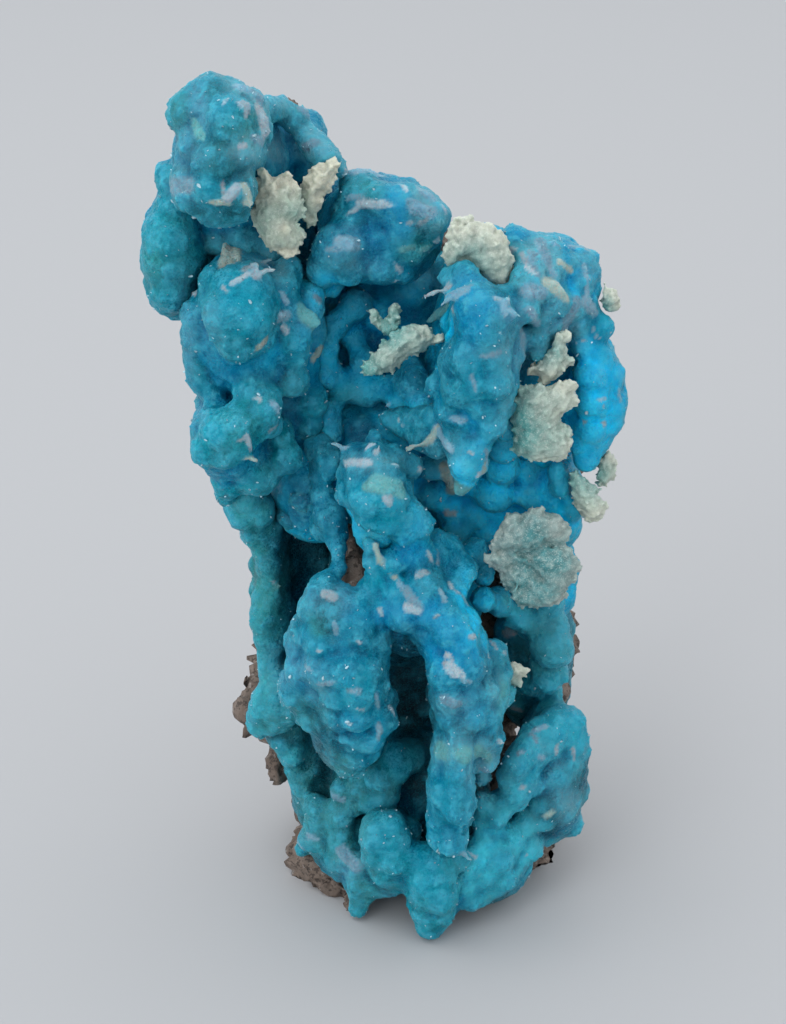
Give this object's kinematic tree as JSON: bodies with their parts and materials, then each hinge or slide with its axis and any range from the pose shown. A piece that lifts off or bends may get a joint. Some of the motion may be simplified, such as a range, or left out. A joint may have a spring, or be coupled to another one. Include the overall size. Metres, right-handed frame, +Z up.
{
  "type": "hemimorphite crystal specimen",
  "caption": "Upright mineral specimen: a botryoidal blue hemimorphite crust with pale bladed crystal clusters on a brown rock matrix, with a flat cut base.",
  "frame": {"origin": "middle of the bounding box, on the flat cut base", "axes": "+Z up along the specimen's height, -Y towards the viewer of the crystal-covered front, +X to that viewer's right"},
  "size_m": [0.0415, 0.0305, 0.0782],
  "materials": {
    "brown_rock": "rough broken rock",
    "blue_crust": "frosted crystal druse, slightly translucent",
    "pale_crystal": "frosted translucent blades"
  },
  "bodies": {
    "root": {"matrix": "brown_rock", "blue_crust": "blue_crust", "pale_cluster_crown": "pale_crystal", "pale_cluster_ridge": "pale_crystal", "pale_blades_hollow": "pale_crystal", "pale_cluster_shoulder": "pale_crystal", "pale_cluster_middle": "pale_crystal", "pale_cluster_side": "pale_crystal", "pale_cluster_edge": "pale_crystal", "pale_cluster_lower": "pale_crystal", "pale_tuft_recess": "pale_crystal", "pale_tip_corner": "pale_crystal"}
  },
  "joints": []
}
